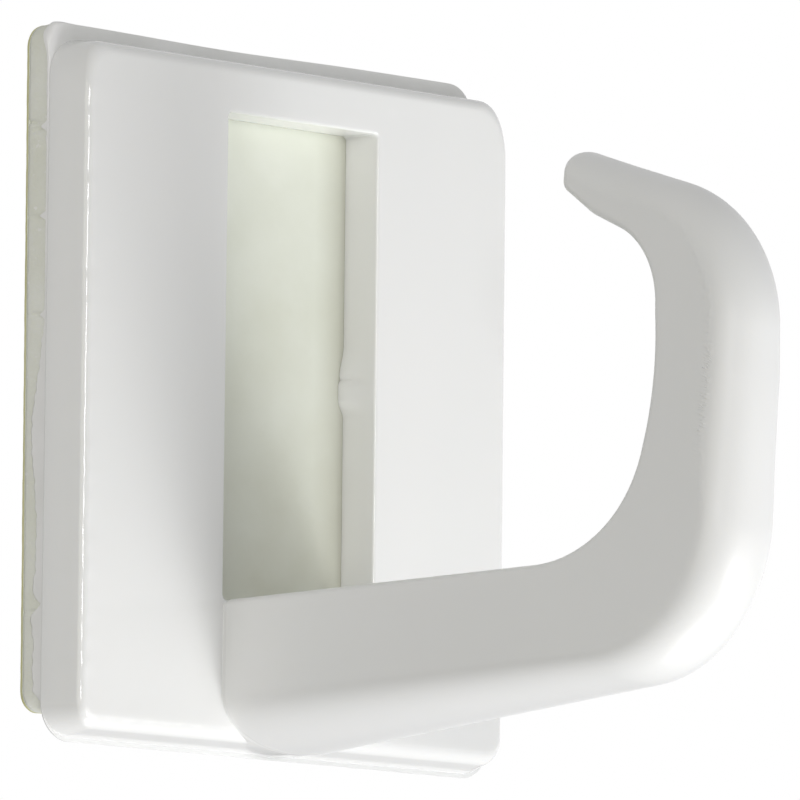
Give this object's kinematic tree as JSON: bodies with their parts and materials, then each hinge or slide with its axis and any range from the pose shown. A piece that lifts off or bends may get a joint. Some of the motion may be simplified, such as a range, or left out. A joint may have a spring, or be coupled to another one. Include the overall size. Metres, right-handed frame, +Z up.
{
  "type": "adhesive wall hook",
  "caption": "White moulded wall hook: a rectangular plate with a tall window, a tapering arm that curls up and back, and a foam adhesive pad behind it with a peel-off liner.",
  "frame": {"origin": "on the back face of the liner, which is the wall face, behind the middle of the plate", "axes": "+X across the plate to the viewer's right, +Y into the wall, +Z up; the arm reaches out along -Y"},
  "size_m": [0.045, 0.0507, 0.0511],
  "materials": {
    "hook_plastic": "glossy white moulding",
    "pad_adhesive": "tacky, pale ivory green",
    "pad_foam": "matt closed-cell foam, pale ivory green",
    "liner_paper": "smooth coated paper, straw yellow"
  },
  "bodies": {
    "hook": {"hook_body": "hook_plastic", "front_adhesive": "pad_adhesive", "foam_pad": "pad_foam", "rear_adhesive": "pad_adhesive"},
    "liner": {"release_liner": "liner_paper"}
  },
  "joints": [
    {"name": "liner_peel", "type": "slide", "parent": "hook", "child": "liner", "axis": [0, 1, 0], "range_m": [0, 0.04]}
  ]
}
